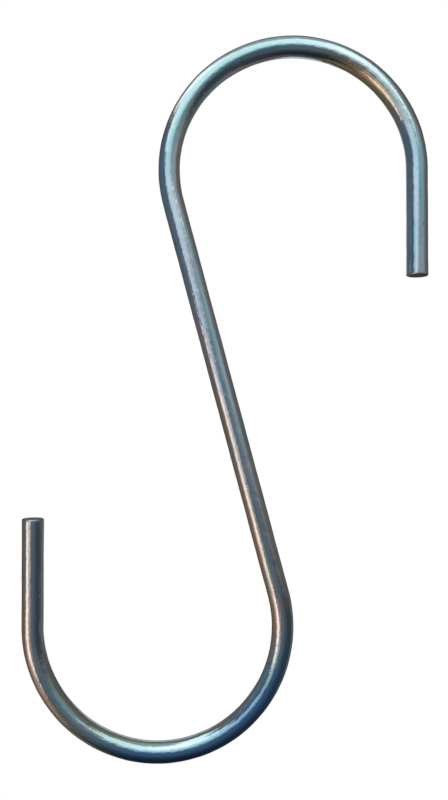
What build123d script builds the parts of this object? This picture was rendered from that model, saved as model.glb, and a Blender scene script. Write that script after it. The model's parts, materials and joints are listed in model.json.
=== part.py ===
from build123d import *
import os

# S hook bent from one length of round wire, with a half-round bend and a straight tail at each end.
# Lengths are in millimetres and angles in degrees. The wire lies in the XZ plane, with Z up as it hangs.
# The origin is the inside top of the upper bend, where the hook rests on its rail.

# Driving dimensions
wire_diameter = 5.0
upper_bend_inner_radius = 26.0
lower_bend_inner_radius = 26.0
upper_tail_length = 24.5
lower_tail_length = 24.5
shank_length = 92.9
shank_slant_angle = 15.0  # between the shank and the upright tails
end_rounding = 0.4

# The bends along the middle of the wire: each turns back on itself and on by the slant of the shank
wire_radius = wire_diameter / 2
upper_bend_radius = upper_bend_inner_radius + wire_radius
lower_bend_radius = lower_bend_inner_radius + wire_radius
bend_angle = 180 + shank_slant_angle

# The wire, from the upper tail's end over the rail, down the shank and round to the lower tail's end
with BuildPart() as s_hook:
    with BuildLine(Plane.XZ) as middle_line:
        upper_tail = Line(
            (upper_bend_radius, -upper_bend_inner_radius - upper_tail_length),
            (upper_bend_radius, -upper_bend_inner_radius),
        )
        upper_bend = JernArc(upper_tail @ 1, upper_tail % 1, upper_bend_radius, bend_angle)
        shank = PolarLine(upper_bend @ 1, shank_length, direction=upper_bend % 1)
        lower_bend = JernArc(shank @ 1, shank % 1, lower_bend_radius, -bend_angle)
        PolarLine(lower_bend @ 1, lower_tail_length, direction=lower_bend % 1)
    with BuildSketch(Plane(origin=upper_tail @ 0, z_dir=upper_tail % 0)):
        Circle(wire_radius)
    sweep(path=middle_line.line)

    # Cropping leaves the ends flat, and tumbling before plating rounds their rims
    fillet(s_hook.faces().filter_by(GeomType.PLANE).edges(), end_rounding)

s_hook.part.label = "s_hook"

os.makedirs("parts", exist_ok=True)
export_step(s_hook.part, "parts/s_hook.step")
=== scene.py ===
import bpy
import json
import numpy as np
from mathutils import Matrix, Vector


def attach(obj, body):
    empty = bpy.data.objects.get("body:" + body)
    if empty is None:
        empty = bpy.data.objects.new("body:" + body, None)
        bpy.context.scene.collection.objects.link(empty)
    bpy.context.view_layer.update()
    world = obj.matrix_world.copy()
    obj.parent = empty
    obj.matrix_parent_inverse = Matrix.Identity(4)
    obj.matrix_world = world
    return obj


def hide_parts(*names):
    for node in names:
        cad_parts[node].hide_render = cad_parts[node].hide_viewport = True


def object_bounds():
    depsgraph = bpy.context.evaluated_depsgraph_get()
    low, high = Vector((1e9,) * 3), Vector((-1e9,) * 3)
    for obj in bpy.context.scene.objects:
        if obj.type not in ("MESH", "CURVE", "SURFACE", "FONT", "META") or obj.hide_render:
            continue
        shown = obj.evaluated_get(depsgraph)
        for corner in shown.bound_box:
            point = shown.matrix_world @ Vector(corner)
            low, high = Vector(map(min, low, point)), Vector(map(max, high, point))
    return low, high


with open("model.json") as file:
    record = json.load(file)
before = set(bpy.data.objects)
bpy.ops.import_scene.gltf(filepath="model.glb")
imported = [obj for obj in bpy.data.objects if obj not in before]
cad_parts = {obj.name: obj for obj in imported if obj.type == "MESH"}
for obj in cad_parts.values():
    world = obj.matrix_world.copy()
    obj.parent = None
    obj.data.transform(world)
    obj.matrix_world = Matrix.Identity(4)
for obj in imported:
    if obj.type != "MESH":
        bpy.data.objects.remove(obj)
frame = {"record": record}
cad_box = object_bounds()

# The wire
# One length of drawn steel wire, cropped at both ends and bent cold round two pins into an S. The tails
# and the shank stay straight, and tumbling rounds the rims of the cropped ends before the hook is plated.
mm = 0.001
mounts = {mount["name"]: mount for mount in frame["record"]["mounts"]}
rail_saddle = np.array(mounts["rail_saddle"]["pos_m"])
load_saddle = np.array(mounts["load_saddle"]["pos_m"])
tail_mount = mounts["upper_tail_end"]
wire_radius = tail_mount["dims"]["r_mm"] * mm
end_rounding = 0.4 * mm
tail_length = tail_mount["dims"]["length_mm"] * mm + end_rounding
bend_radius = tail_mount["pos_m"][0] - rail_saddle[0]
bend_drop = np.array([0, 0, bend_radius - wire_radius])
centre_step = (load_saddle + bend_drop) - (rail_saddle - bend_drop)
shank_length = np.sqrt(centre_step @ centre_step - (2 * bend_radius) ** 2)
shank_slant = np.arctan(2 * bend_radius / shank_length) - np.arctan2(-centre_step[0], -centre_step[2])
bend_turn = np.pi + shank_slant
bend_length = bend_radius * bend_turn
stretches = np.array([tail_length, bend_length, shank_length, bend_length, tail_length])
turns = np.array([0, bend_turn, 0, -bend_turn, 0])
wire_length = stretches.sum()
wire_start = rail_saddle - bend_drop + np.array([bend_radius, 0, -tail_length])


def along_wire(distance):
    """The middle of the wire, and the way it heads, at each distance from the upper tail's end.

    Each stretch is a straight or an arc. What is covered of it moves the place by the arc's chord, which
    is the length covered times the sinc of half the turn, in the heading halfway round that turn.
    """
    heading = np.full_like(distance, np.pi / 2)
    place = np.zeros((len(distance), 3)) + wire_start
    for length, turn, begin in zip(stretches, turns, np.cumsum(stretches) - stretches):
        covered = np.clip(distance - begin, 0, length)
        turned = turn * covered / length
        chord = covered * np.sinc(turned / (2 * np.pi))
        place[:, 0] += chord * np.cos(heading + turned / 2)
        place[:, 2] += chord * np.sin(heading + turned / 2)
        heading = heading + turned
    return place, heading


def wire_profile(body_steps, rim_steps):
    """Distance along the wire and radius there, from the pole of one end to the pole of the other.

    A flat end grows from its pole to the rim's foot, a quarter circle carries the rim out to the full
    radius, the body holds it, and the other end mirrors the first.
    """
    rim = np.linspace(0, np.pi / 2, rim_steps)
    flat_share = np.linspace(0, 1, rim_steps)[:-1]
    start_distance = np.concatenate([0 * flat_share, end_rounding * (1 - np.cos(rim))])
    start_radius = np.concatenate([(wire_radius - end_rounding) * flat_share,
                                   wire_radius - end_rounding + end_rounding * np.sin(rim)])
    body = np.linspace(end_rounding, wire_length - end_rounding, body_steps)[1:-1]
    distance = np.concatenate([start_distance, body, wire_length - start_distance[::-1]])
    radius = np.concatenate([start_radius, np.full_like(body, wire_radius), start_radius[::-1]])
    return distance, radius


def drawing_waves(distance, angle):
    """How far the skin dips below the full radius: a few slow waves along and round the wire.

    Each wave is a sine of the distance over its length, wound round the wire a whole number of times. The
    sum is shifted so that its highest crest just reaches the full radius, and fades out at both ends.
    """
    lengths = np.array([19.0, 8.3, 4.1, 2.7]) * mm
    heights = np.array([0.012, 0.008, 0.005, 0.003]) * mm
    windings = np.array([1, 2, 3, 5])
    starts = np.array([0.4, 1.9, 3.1, 5.2])
    phase = 2 * np.pi * distance[:, None, None] / lengths + windings * angle[None, :, None] + starts
    dip = (heights * (1 - np.sin(phase))).sum(-1)
    fade_length = 6 * mm
    fade = np.clip(np.minimum(distance, wire_length - distance) / fade_length, 0, 1)
    return dip * (fade * fade * (3 - 2 * fade))[:, None]


def wire_mesh(name, body_steps, rim_steps, sides, rows):
    """The wire's skin: at each step of the profile a ring round the middle line, square to its heading.

    The rings are joined by quads, and each end is closed by a fan about its pole. The attribute "drawn"
    keeps the place on the straight wire before it was bent: distance along it, then the two measures
    across it. The attribute "cropped" is 1 on the flat ends and falls to 0 over their rims.
    """
    distance, radius = wire_profile(body_steps, rim_steps)
    place, heading = along_wire(distance)
    angle = np.arange(sides) * 2 * np.pi / sides
    inward = np.stack([-np.sin(heading), 0 * heading, np.cos(heading)], 1)
    towards = np.array([0, -1, 0])
    across = np.cos(angle)[:, None] * inward[:, None] + np.sin(angle)[:, None] * towards
    reach = radius[:, None] - drawing_waves(distance, angle)
    skin = place[:, None] + reach[..., None] * across
    straight = np.stack(np.broadcast_arrays(distance[:, None],
                                            radius[:, None] * np.cos(angle),
                                            radius[:, None] * np.sin(angle)), -1)
    to_end = np.minimum(distance, wire_length - distance)
    cropped = np.repeat(1 - np.clip(to_end / end_rounding, 0, 1), sides).reshape(-1, sides)

    def rings_then_poles(values):
        width = values.shape[2:]
        return np.concatenate([values[1:-1].reshape(-1, *width), values[[0, -1], 0]])

    points = rings_then_poles(skin)
    first_pole, last_pole = len(points) - 2, len(points) - 1
    ring, side = np.meshgrid(np.arange(len(distance) - 3), np.arange(sides), indexing="ij")
    beside = (side + 1) % sides
    quads = np.stack([ring * sides + side, ring * sides + beside,
                      (ring + 1) * sides + beside, (ring + 1) * sides + side], -1).reshape(-1, 4)
    last_ring = (len(distance) - 3) * sides
    start_fan = np.stack([np.full(sides, first_pole), beside[0], side[0]], 1)
    end_fan = np.stack([np.full(sides, last_pole), last_ring + side[0], last_ring + beside[0]], 1)

    mesh = bpy.data.meshes.new(name)
    mesh.from_pydata(points, [], quads.tolist() + start_fan.tolist() + end_fan.tolist())
    mesh.shade_smooth()
    drawn = rings_then_poles(straight)
    mesh.attributes.new("drawn", "FLOAT_VECTOR", "POINT").data.foreach_set("vector", drawn.ravel())
    mesh.attributes.new("cropped", "FLOAT", "POINT").data.foreach_set("value", rings_then_poles(cropped))

    # The UV map cuts the unrolled skin into rows of about one length and stacks them in the unit square
    unrolled = np.concatenate([[0], np.cumsum(np.hypot(np.diff(distance), np.diff(radius)))])
    band = np.arange(len(distance) - 1)
    band_row = ((unrolled[:-1] + unrolled[1:]) / 2 * rows // unrolled[-1]).astype(int)
    row_begin = np.array([unrolled[:-1][band_row == row].min() for row in range(rows)])
    row_length = np.diff(np.append(row_begin, unrolled[-1])).max()
    margin_share = 0.02

    def unrolled_corners(bands, along, turn):
        row = band_row[bands][:, None, None]
        run_share = (unrolled[bands[:, None] + along][:, None] - row_begin[row]) / row_length
        turn_share = (np.arange(sides)[:, None] + turn) / sides
        right = margin_share + (1 - 2 * margin_share) * run_share
        up = (row + margin_share + (1 - 2 * margin_share) * turn_share) / rows
        return np.stack(np.broadcast_arrays(right, up), -1).reshape(-1, 2)

    corners = np.concatenate([
        unrolled_corners(band[1:-1], np.array([0, 0, 1, 1]), np.array([0, 1, 1, 0])),
        unrolled_corners(band[:1], np.array([0, 1, 1]), np.array([0.5, 1, 0])),
        unrolled_corners(band[-1:], np.array([1, 0, 0]), np.array([0.5, 0, 1]))])
    mesh.uv_layers.new(name="OFBake").data.foreach_set("uv", corners.ravel())
    return mesh


hook_mesh = wire_mesh("hook_wire", body_steps=1201, rim_steps=9, sides=64, rows=5)
hook = bpy.data.objects.new("hook_wire", hook_mesh)
bpy.context.scene.collection.objects.link(hook)


def linear(hex_colour):
    """An sRGB colour written as hex, as linear red, green, blue and full alpha."""
    srgb = np.array([int(hex_colour[i:i + 2], 16) for i in (1, 3, 5)]) / 255
    light = np.where(srgb <= 0.04045, srgb / 12.92, ((srgb + 0.055) / 1.055) ** 2.4)
    return (*light.tolist(), 1.0)


def node(tree, kind, inputs=(), **settings):
    """Adds a node with its settings, and gives each input its value or the output that feeds it."""
    made = tree.nodes.new(kind)
    for setting, value in settings.items():
        setattr(made, setting, value)
    for name, value in dict(inputs).items():
        if isinstance(value, bpy.types.NodeSocket):
            tree.links.new(value, made.inputs[name])
        else:
            made.inputs[name].default_value = value
    return made


# Bright zinc plate with a clear blue passivate, over drawn wire: a mirror-like cool grey, a little streaked
# along the wire. The film is so thin that it tints the metal, and the tint drifts from a faint mauve to a
# pale teal. On the outside of the lower bend a deeper blue is painted into the tint, a painted reflection
# that makes the metal's reflections there bluer, and below it three more casts of painted reflection and
# painted shade are multiplied in.
zinc = bpy.data.materials.new("bright_zinc_plate")
zinc.use_nodes = True
tree = zinc.node_tree
tree.nodes.clear()
drawn = node(tree, "ShaderNodeAttribute", attribute_name="drawn").outputs["Vector"]
on_wire = node(tree, "ShaderNodeSeparateXYZ", {"Vector": drawn})

# The drift's usual length along the wire and width across it, and a shift of its pattern in lengths
film_length, film_width, film_start = 22 * mm, 1.6 * mm, 7.3
film_place = node(tree, "ShaderNodeMapping",
                  {"Vector": drawn, "Location": (film_start, 0, 0),
                   "Scale": (1 / film_length, 1 / film_width, 1 / film_width)})
film_drift = node(tree, "ShaderNodeTexNoise",
                  {"Vector": film_place.outputs["Vector"], "Scale": 1.0, "Detail": 4.0, "Roughness": 0.6})

# A painted reflection: over a stretch of the lower bend the tint is painted a deeper blue, deepest in a core
# along the wire and fading out within a reach of the middle. Across the wire it deepens from the inside of
# the bend to the outside.
upper_start, lower_start = stretches[0], stretches[:3].sum()
painted_blue_middle = lower_start + 0.4 * bend_length
painted_blue_core, painted_blue_reach, painted_blue_depth = 0.12 * bend_length, 0.34 * bend_length, 0.52
painted_blue_inside, painted_blue_outside = -0.9 * wire_radius, 0.15 * wire_radius
from_painted_blue = node(tree, "ShaderNodeMath",
                   {0: on_wire.outputs["X"], 1: painted_blue_middle}, operation="SUBTRACT")
from_painted_blue = node(tree, "ShaderNodeMath", {0: from_painted_blue.outputs[0]}, operation="ABSOLUTE")
painted_blue_along = node(tree, "ShaderNodeMapRange",
                {"Value": from_painted_blue.outputs[0], "From Min": painted_blue_reach, "From Max": painted_blue_core,
                 "To Min": 0.0, "To Max": painted_blue_depth}, interpolation_type="SMOOTHSTEP")
painted_blue_across = node(tree, "ShaderNodeMapRange",
                     {"Value": on_wire.outputs["Y"], "From Min": painted_blue_inside, "From Max": painted_blue_outside},
                     interpolation_type="SMOOTHSTEP")
film_and_painted_blue_depth = node(tree, "ShaderNodeMath",
                  {0: painted_blue_along.outputs["Result"], 1: painted_blue_across.outputs["Result"],
                   2: film_drift.outputs["Fac"]}, operation="MULTIPLY_ADD")
film = node(tree, "ShaderNodeValToRGB", {"Fac": film_and_painted_blue_depth.outputs[0]})
# The paler stops are the film's own drifting tint; the deep blue ones are reached only where the painted
# reflection deepens it.
film_and_painted_blue_colours = {0.30: "#e4e5ea", 0.46: "#dfebef", 0.62: "#c3e6ec", 0.78: "#a6d4f4", 0.95: "#94c8f8"}
ramp = film.color_ramp.elements
while len(ramp) < len(film_and_painted_blue_colours):
    ramp.new(0.5)
for stop, (depth, hex_colour) in zip(ramp, film_and_painted_blue_colours.items()):
    stop.position = depth
    stop.color = linear(hex_colour)

# In three places a painted light of its own is multiplied into the tint: a painted straw glint inside the
# right of the upper bend, a painted teal shade along the middle of its left, and a painted grey green
# reflection inside the left of the lower bend. Each has a middle and a reach along the wire, then across it.
# It is full over the core's share of each reach, and fades out over the rest.
painted_straw_glint, painted_teal_shade, painted_grey_green_reflection = "#f4ecd4", "#dbf1ea", "#d8e3d8"
painted_reflections = ((painted_straw_glint, (upper_start + 0.27 * bend_length, 0.20 * bend_length),
          (0.75 * wire_radius, 0.95 * wire_radius)),
         (painted_teal_shade, (upper_start + 0.66 * bend_length, 0.32 * bend_length),
          (0.05 * wire_radius, 0.55 * wire_radius)),
         (painted_grey_green_reflection, (lower_start + 0.76 * bend_length, 0.26 * bend_length),
          (-0.95 * wire_radius, 0.70 * wire_radius)))
painted_reflection_core = 0.4
# The film's tint, into which the painted reflections and the painted shade are multiplied below
tint_and_painted_reflections = film.outputs["Color"]
for hex_colour, along, across in painted_reflections:
    strength = 1.0
    for measure, (middle, reach) in (("X", along), ("Y", across)):
        away = node(tree, "ShaderNodeMath",
                    {0: on_wire.outputs[measure], 1: middle}, operation="SUBTRACT")
        away = node(tree, "ShaderNodeMath", {0: away.outputs[0]}, operation="ABSOLUTE")
        fade = node(tree, "ShaderNodeMapRange",
                    {"Value": away.outputs[0], "From Min": reach, "From Max": painted_reflection_core * reach,
                     "To Min": 0.0, "To Max": strength}, interpolation_type="SMOOTHSTEP")
        strength = fade.outputs["Result"]
    tint_and_painted_reflections = node(tree, "ShaderNodeMix",
                       {"Factor": strength, 6: tint_and_painted_reflections, 7: linear(hex_colour)},
                       data_type="RGBA", blend_type="MULTIPLY").outputs[2]

# Lines left by the drawing die show through the plate as streaks along the wire. The real ones are a few
# hundredths of a millimetre wide, and they are drawn coarser here so that they show. A line is darker and
# duller than the plate beside it.
streak_length, streak_width = 38 * mm, 0.45 * mm
in_line, beside_line = 0.3, 0.7
line_shade, plate_shade = 0.8, 1.0
line_roughness, plate_roughness = 0.17, 0.09
streak_place = node(tree, "ShaderNodeMapping",
                    {"Vector": drawn, "Scale": (1 / streak_length, 1 / streak_width, 1 / streak_width)})
streaks = node(tree, "ShaderNodeTexNoise",
               {"Vector": streak_place.outputs["Vector"], "Scale": 1.0, "Detail": 3.0, "Roughness": 0.6})
streak_shade = node(tree, "ShaderNodeMapRange",
                    {"Value": streaks.outputs["Fac"], "From Min": in_line, "From Max": beside_line,
                     "To Min": line_shade, "To Max": plate_shade})
streak_gloss = node(tree, "ShaderNodeMapRange",
                    {"Value": streaks.outputs["Fac"], "From Min": in_line, "From Max": beside_line,
                     "To Min": line_roughness, "To Max": plate_roughness})
streaked = node(tree, "ShaderNodeMix",
                {"Factor": 1.0, 6: tint_and_painted_reflections, 7: streak_shade.outputs["Result"]},
                data_type="RGBA", blend_type="MULTIPLY")

# The plate's own grain, also drawn coarser than it is, and the odd nick from tumbling with other hooks. A
# nick's flat bottom and its rim are shares of the spacing.
grain_length, grain_width = 1.1 * mm, 0.6 * mm
grain_place = node(tree, "ShaderNodeMapping",
                   {"Vector": drawn, "Scale": (1 / grain_length, 1 / grain_width, 1 / grain_width)})
grain = node(tree, "ShaderNodeTexNoise",
             {"Vector": grain_place.outputs["Vector"], "Scale": 1.0, "Detail": 2.0, "Roughness": 0.55})
nick_along, nick_round = 11 * mm, 5 * mm
nick_bottom, nick_rim, nick_grey = 0.03, 0.075, "#a3aeb2"
nick_place = node(tree, "ShaderNodeMapping",
                  {"Vector": drawn, "Scale": (1 / nick_along, 1 / nick_round, 1 / nick_round)})
nick_spot = node(tree, "ShaderNodeTexVoronoi", {"Vector": nick_place.outputs["Vector"], "Scale": 1.0})
nick = node(tree, "ShaderNodeMapRange",
            {"Value": nick_spot.outputs["Distance"], "From Min": nick_bottom, "From Max": nick_rim,
             "To Min": 1.0, "To Max": 0.0})
nicked = node(tree, "ShaderNodeMix",
              {"Factor": nick.outputs["Result"], 6: streaked.outputs[2], 7: linear(nick_grey)},
              data_type="RGBA")

# The shear that crops the wire leaves a dull, torn face on each end, and the plate covers it thinly
cropped = node(tree, "ShaderNodeAttribute", attribute_name="cropped").outputs["Fac"]
shear_run, shear_line = 1.3 * mm, 0.24 * mm
torn_dark, torn_light, torn_roughness = "#5f676b", "#aeb8bc", 0.5
shear_place = node(tree, "ShaderNodeMapping",
                   {"Vector": drawn, "Scale": (1 / shear_run, 1 / shear_run, 1 / shear_line)})
shear = node(tree, "ShaderNodeTexNoise",
             {"Vector": shear_place.outputs["Vector"], "Scale": 1.0, "Detail": 3.0, "Roughness": 0.6})
torn = node(tree, "ShaderNodeMix",
            {"Factor": shear.outputs["Fac"], 6: linear(torn_dark), 7: linear(torn_light)},
            data_type="RGBA")
colour = node(tree, "ShaderNodeMix",
              {"Factor": cropped, 6: nicked.outputs[2], 7: torn.outputs[2]}, data_type="RGBA")
gloss = node(tree, "ShaderNodeMix",
             {"Factor": cropped, 2: streak_gloss.outputs["Result"], 3: torn_roughness}, data_type="FLOAT")

# The relief, in metres. The die's lines are the shallowest. The grain is drawn deeper than it is, as it
# is drawn coarser, so that it breaks up the edges of the highlights.
grain_height, streak_height, nick_depth, shear_height = 0.036 * mm, 0.004 * mm, 0.02 * mm, 0.03 * mm
torn_ends = node(tree, "ShaderNodeMath", {0: shear.outputs["Fac"], 1: cropped}, operation="MULTIPLY")
height = node(tree, "ShaderNodeMath", {0: grain.outputs["Fac"], 1: grain_height}, operation="MULTIPLY")
for pattern, pattern_height in ((streaks.outputs["Fac"], streak_height),
                                (nick.outputs["Result"], -nick_depth),
                                (torn_ends.outputs[0], shear_height)):
    height = node(tree, "ShaderNodeMath",
                  {0: pattern, 1: pattern_height, 2: height.outputs[0]}, operation="MULTIPLY_ADD")
relief = node(tree, "ShaderNodeBump", {"Height": height.outputs[0], "Distance": 1.0, "Strength": 1.0})

# Seen at a glancing angle, the plate mirrors less than where it is faced, and a little more warmly
glancing_tint = "#b9a6a2"
plate = node(tree, "ShaderNodeBsdfPrincipled",
             {"Base Color": colour.outputs[2], "Metallic": 1.0, "Roughness": gloss.outputs[0],
              "Specular Tint": linear(glancing_tint), "Normal": relief.outputs["Normal"]})
node(tree, "ShaderNodeOutputMaterial", {"Surface": plate.outputs["BSDF"]})
hook_mesh.materials.append(zinc)
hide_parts("s_hook")
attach(hook, "root")

# The floor
# A plain white sheet well below the hanging hook, which runs back past the edge of every view.
floor_drop, floor_half = 1.7, 60.0
hook_middle = (np.array(cad_box[0]) + np.array(cad_box[1])) / 2
floor_height = hook_middle[2] - floor_drop
floor_mesh = bpy.data.meshes.new("floor")
floor_corners = np.array([[-1, -1], [1, -1], [1, 1], [-1, 1]]) * floor_half
floor_mesh.from_pydata(np.column_stack([floor_corners, np.full(4, floor_height)]), [], [(0, 1, 2, 3)])
floor = bpy.data.objects.new("floor", floor_mesh)
bpy.context.scene.collection.objects.link(floor)
paper = bpy.data.materials.new("white_paper")
paper.use_nodes = True
paper_shader = paper.node_tree.nodes["Principled BSDF"]
paper_shader.inputs["Base Color"].default_value = linear("#ffffff")
paper_shader.inputs["Roughness"].default_value = 1.0
paper_shader.inputs["Specular IOR Level"].default_value = 0.0
floor_mesh.materials.append(paper)

# The studio
# Even white light all round, and the tent that bright metal is photographed in: a grey ball of cloth with
# lit panels and dark cards in it. Only the metal mirrors the tent; the camera and the floor see past it.
world = bpy.data.worlds.new("white_room")
bpy.context.scene.world = world
world.use_nodes = True
room_light = world.node_tree.nodes["Background"]
room_light.inputs["Color"].default_value = linear("#ffffff")
room_light.inputs["Strength"].default_value = 1.0
world.cycles.sampling_method = "NONE"

tent_radius, tent_columns, tent_rows = 0.6, 181, 91
tent_azimuth, tent_elevation = np.meshgrid(np.linspace(-180, 180, tent_columns),
                                           np.linspace(-90, 90, tent_rows), indexing="ij")
tent_glow = np.zeros(tent_azimuth.shape + (3,)) + linear("#736a66")[:3]


def hang(azimuths, elevations, fade, hex_colour, strength=1.0):
    """Hangs a panel in the tent, over what is there already, between two azimuths and two elevations.

    Angles are in degrees: azimuth 0 lies towards the camera and grows to its right, and elevation grows
    upwards. From each edge inwards the panel fades in over the given angle, by a smooth step. A panel that
    goes all the way round, or reaches a pole, has no edge there.
    """
    global tent_glow
    cover = np.ones(tent_azimuth.shape)
    middle = sum(azimuths) / 2
    beside = np.abs((tent_azimuth - middle + 180) % 360 - 180)
    insides = []
    if azimuths[1] - azimuths[0] < 360:
        insides.append((azimuths[1] - azimuths[0]) / 2 - beside)
    if elevations[0] > -90:
        insides.append(tent_elevation - elevations[0])
    if elevations[1] < 90:
        insides.append(elevations[1] - tent_elevation)
    for inside in insides:
        share = np.clip(inside / fade, 0, 1)
        cover = cover * share * share * (3 - 2 * share)
    panel_glow = np.array(linear(hex_colour)[:3]) * strength
    tent_glow = tent_glow * (1 - cover[..., None]) + panel_glow * cover[..., None]


# Grey ceiling, dark cloth below, darkest at the bottom, and a dark card on each side
hang((-180, 180), (40, 90), 30, "#8c9494")
hang((-180, 180), (62, 90), 20, "#aab4b5")
hang((-180, 180), (-90, -2), 30, "#5e5650")
hang((-120, 150), (-90, -4), 34, "#3a3a42")
hang((-180, 180), (-90, -58), 18, "#2a2a32")
hang((-130, 0), (-16, 52), 22, "#566879")
hang((20, 130), (-60, 6), 20, "#42444a")
# Slate cards low in front, brown and tan ones low on the left and a grey one low on the right
hang((-30, 50), (-60, 0), 26, "#4e5a66")
hang((98, 168), (-50, 4), 18, "#7c7874")
hang((-160, -76), (-72, -36), 16, "#80705f")
hang((-165, -13), (-60, -2), 22, "#846855")
hang((-105, -44), (-57, -24), 14, "#a88a78")
hang((-26, 34), (-16, 14), 16, "#647a8e")
hang((-22, 20), (-38, -6), 12, "#5e6c7a")
hang((-37, -14), (-25, -7), 7, "#b89a7c")
# Warm strip low on the left, pinker below and whiter above, with a soft glow on its right
hang((-40, -14), (-17, 2), 8, "#ffe2cc", 0.85)
hang((-84, -32), (-40, -14), 12, "#d4b3a6")
hang((-67, -33), (-35, -9), 9, "#ffd8cb", 1.6)
hang((-67, -35), (-23, -1), 8, "#ffe9ec", 1.3)
# The large cool soft box above the camera, with the skirts that spread its light below it
hang((-50, -16), (-10, 16), 12, "#cfdae6")
hang((5, 84), (-6, 50), 24, "#98a7b0")
hang((-44, 4), (-3, 26), 14, "#d0deee")
hang((-48, 21), (6, 50), 14, "#dce9f6")
hang((-62, 46), (20, 74), 15, "#f8fcff", 1.36)
hang((-118, 66), (40, 75), 13, "#f8fcff", 1.32)
# Soft box and a tall strip behind, which light the back of the hook
hang((148, 212), (2, 34), 12, "#eef5f8")
hang((164, 190), (-40, 36), 8, "#eef4f8")

# The ball itself, with a column of faces for each step of azimuth, and its glow kept at the points
outward = np.stack([np.sin(np.radians(tent_azimuth)) * np.cos(np.radians(tent_elevation)),
                    -np.cos(np.radians(tent_azimuth)) * np.cos(np.radians(tent_elevation)),
                    np.sin(np.radians(tent_elevation))], -1)
tent_points = hook_middle + tent_radius * outward
column, row = np.meshgrid(np.arange(tent_columns - 1), np.arange(tent_rows - 1), indexing="ij")
corner = column * tent_rows + row
tent_faces = np.stack([corner, corner + tent_rows, corner + tent_rows + 1, corner + 1], -1)
tent_mesh = bpy.data.meshes.new("tent")
tent_mesh.from_pydata(tent_points.reshape(-1, 3), [], tent_faces.reshape(-1, 4).tolist())
tent_rgba = np.concatenate([tent_glow, np.ones(tent_azimuth.shape + (1,))], -1)
tent_mesh.attributes.new("glow", "FLOAT_COLOR", "POINT").data.foreach_set("color", tent_rgba.ravel())
lit_cloth = bpy.data.materials.new("lit_cloth")
lit_cloth.use_nodes = True
cloth_tree = lit_cloth.node_tree
cloth_tree.nodes.clear()
glow = node(cloth_tree, "ShaderNodeAttribute", attribute_name="glow")
lit = node(cloth_tree, "ShaderNodeEmission", {"Color": glow.outputs["Color"], "Strength": 1.0})
node(cloth_tree, "ShaderNodeOutputMaterial", {"Surface": lit.outputs["Emission"]})
lit_cloth.cycles.emission_sampling = "NONE"
tent_mesh.materials.append(lit_cloth)
tent = bpy.data.objects.new("tent", tent_mesh)
bpy.context.scene.collection.objects.link(tent)
tent.visible_camera = tent.visible_diffuse = tent.visible_shadow = False
tent.visible_transmission = tent.visible_volume_scatter = False

# The camera
# It stands close in front of the hook, a little below its middle, and looks almost level across the shank,
# with the hook a little to the right of the picture's middle and above it.
camera_data = bpy.data.cameras.new("camera")
camera = bpy.data.objects.new("camera", camera_data)
bpy.context.scene.collection.objects.link(camera)
bpy.context.scene.camera = camera
camera_distance, camera_rise = 0.200, np.radians(1.03)
camera_data.sensor_width, camera_data.lens = 36.0, 39.3
camera_data.clip_start, camera_data.clip_end = 0.01, 200.0
aim_left, aim_below = 0.37 * mm, 0.69 * mm
aim = Vector(hook_middle) - Vector((aim_left, 0, aim_below))
look = Vector((0, np.cos(camera_rise), np.sin(camera_rise)))
camera.location = aim - camera_distance * look
camera.rotation_mode = "QUATERNION"
camera.rotation_quaternion = look.to_track_quat("-Z", "Y")
bpy.context.scene.view_settings.view_transform = "Standard"
